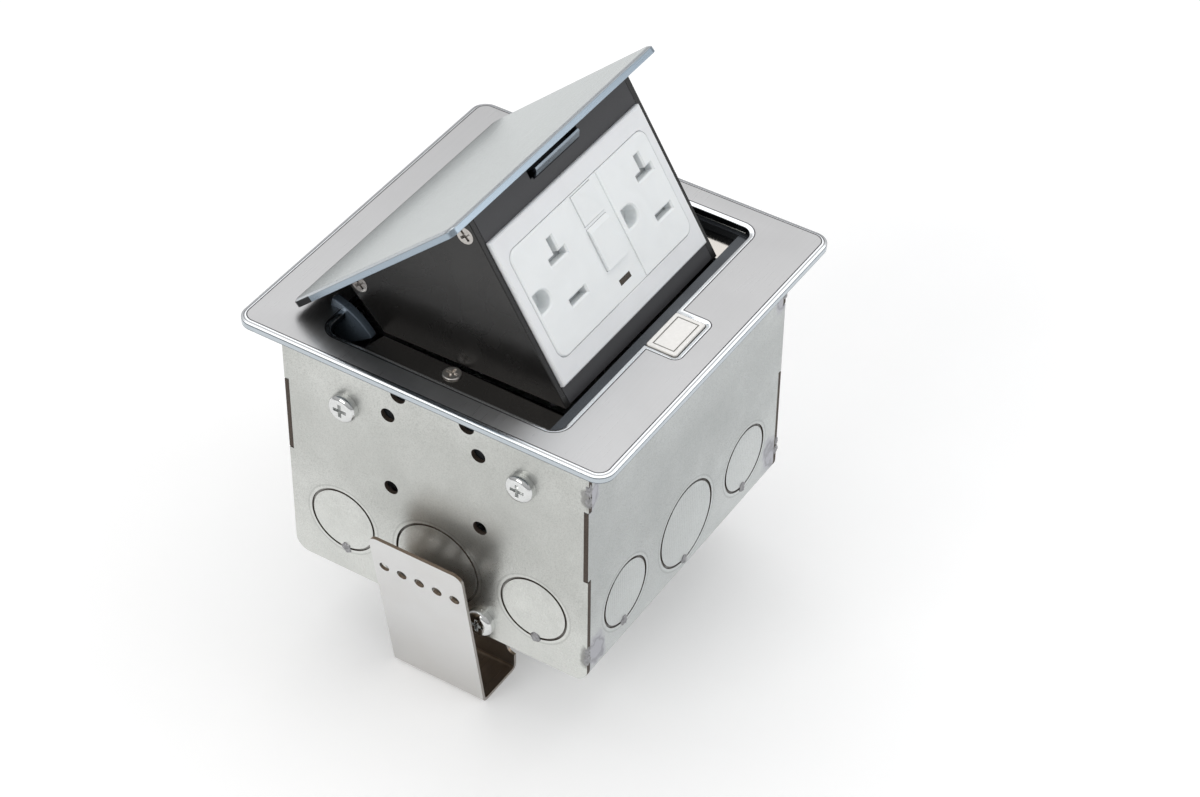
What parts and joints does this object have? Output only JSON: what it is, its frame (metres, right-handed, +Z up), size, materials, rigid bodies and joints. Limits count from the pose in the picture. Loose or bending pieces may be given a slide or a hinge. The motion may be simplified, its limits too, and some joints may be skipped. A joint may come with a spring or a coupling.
{
  "type": "countertop outlet box",
  "caption": "Pop-up outlet box for a worktop: steel flange, galvanised case on spring clips, and a hinged lid that lifts a black housing with a duplex socket.",
  "frame": {"origin": "middle of the box's outline, on the plane of the spring clips' feet", "axes": "X along the hinge, -Y to the front with the release button, +Z up"},
  "size_m": [0.1266, 0.1206, 0.1683],
  "materials": {
    "flange_steel": "brushed, with a polished edge",
    "lid_steel": "satin brushed",
    "galvanised": "matt galvanised sheet",
    "zinc_screw": "bright zinc",
    "clip_steel": "spring steel, satin",
    "frame_steel": "grey-blue lacquer",
    "ledge_steel": "polished",
    "pin_steel": "bright",
    "black_steel": "semi-gloss black",
    "bright_screw": "bright",
    "black_plastic": "satin black",
    "white_plastic": "satin white",
    "outlet_plastic": "satin white",
    "zinc_plate": "zinc plated",
    "brass": "bright",
    "window_plastic": "dark, clear",
    "arm_steel": "plain",
    "spring_steel": "bright wire",
    "button_metal": "pale satin",
    "tongue_steel": "satin",
    "button_plastic": "satin white",
    "shutter_plastic": "pale"
  },
  "bodies": {
    "case": {"flange_plate": "flange_steel", "case_wrap": "galvanised", "left_end_plate": "galvanised", "right_end_plate": "galvanised", "case_screws": "zinc_screw", "lower_screws": "zinc_screw", "left_spring_clip": "clip_steel", "right_spring_clip": "clip_steel", "clip_screws": "zinc_screw", "inner_frame": "frame_steel", "left_ledge": "ledge_steel", "right_ledge": "ledge_steel", "ledge_screws": "zinc_screw", "hinge_pins": "pin_steel"},
    "popup": {"lid_plate": "lid_steel", "lid_bracket": "black_steel", "left_side_plate": "black_steel", "right_side_plate": "black_steel", "side_screws": "bright_screw", "top_rail": "black_plastic", "bottom_rail": "black_plastic", "socket_surround": "white_plastic", "receptacle_face": "outlet_plastic", "receptacle_body": "outlet_plastic", "mounting_strap": "zinc_plate", "strap_screws": "zinc_screw", "terminal_screws": "brass", "indicator_window": "window_plastic", "left_hinge_arm": "arm_steel", "right_hinge_arm": "arm_steel", "lift_springs": "spring_steel"},
    "release_button": {"latch_button": "button_metal"},
    "tongue": {"latch_tongue": "tongue_steel"},
    "test": {"test_button": "button_plastic"},
    "reset": {"reset_button": "button_plastic"},
    "shutter_l": {"left_shutter": "shutter_plastic"},
    "shutter_r": {"right_shutter": "shutter_plastic"}
  },
  "joints": [
    {"name": "lid_hinge", "type": "hinge", "parent": "case", "child": "popup", "pos_m": [0, 0.045, 0.0987], "axis": [1, 0, 0], "range_deg": [0, 42.3], "stiffness_Nm_per_rad": 0.35, "springref_deg": -68.75},
    {"name": "release_button_slide", "type": "slide", "parent": "case", "child": "release_button", "axis": [0, 0, -1], "range_m": [0, 0.002], "stiffness_N_per_m": 400, "springref_m": -0.002},
    {"name": "tongue_slide", "type": "slide", "parent": "popup", "child": "tongue", "axis": [0, 0.7396, -0.673], "range_m": [0, 0.002]},
    {"name": "test_button_slide", "type": "slide", "parent": "popup", "child": "test", "axis": [0, 0.8545, -0.5195], "range_m": [0, 0.0012], "stiffness_N_per_m": 300, "springref_m": -0.002},
    {"name": "reset_button_slide", "type": "slide", "parent": "popup", "child": "reset", "axis": [0, 0.8545, -0.5195], "range_m": [0, 0.0012], "stiffness_N_per_m": 300, "springref_m": -0.002},
    {"name": "left_shutter_slide", "type": "slide", "parent": "popup", "child": "shutter_l", "axis": [0, 0.5195, 0.8545], "range_m": [0, 0.0024], "stiffness_N_per_m": 60, "springref_m": -0.002},
    {"name": "right_shutter_slide", "type": "slide", "parent": "popup", "child": "shutter_r", "axis": [0, 0.5195, 0.8545], "range_m": [0, 0.0024], "stiffness_N_per_m": 60, "springref_m": -0.002}
  ],
  "couplings": [
    {"joint": "tongue_slide", "follows": "release_button_slide", "ratio": 1}
  ]
}
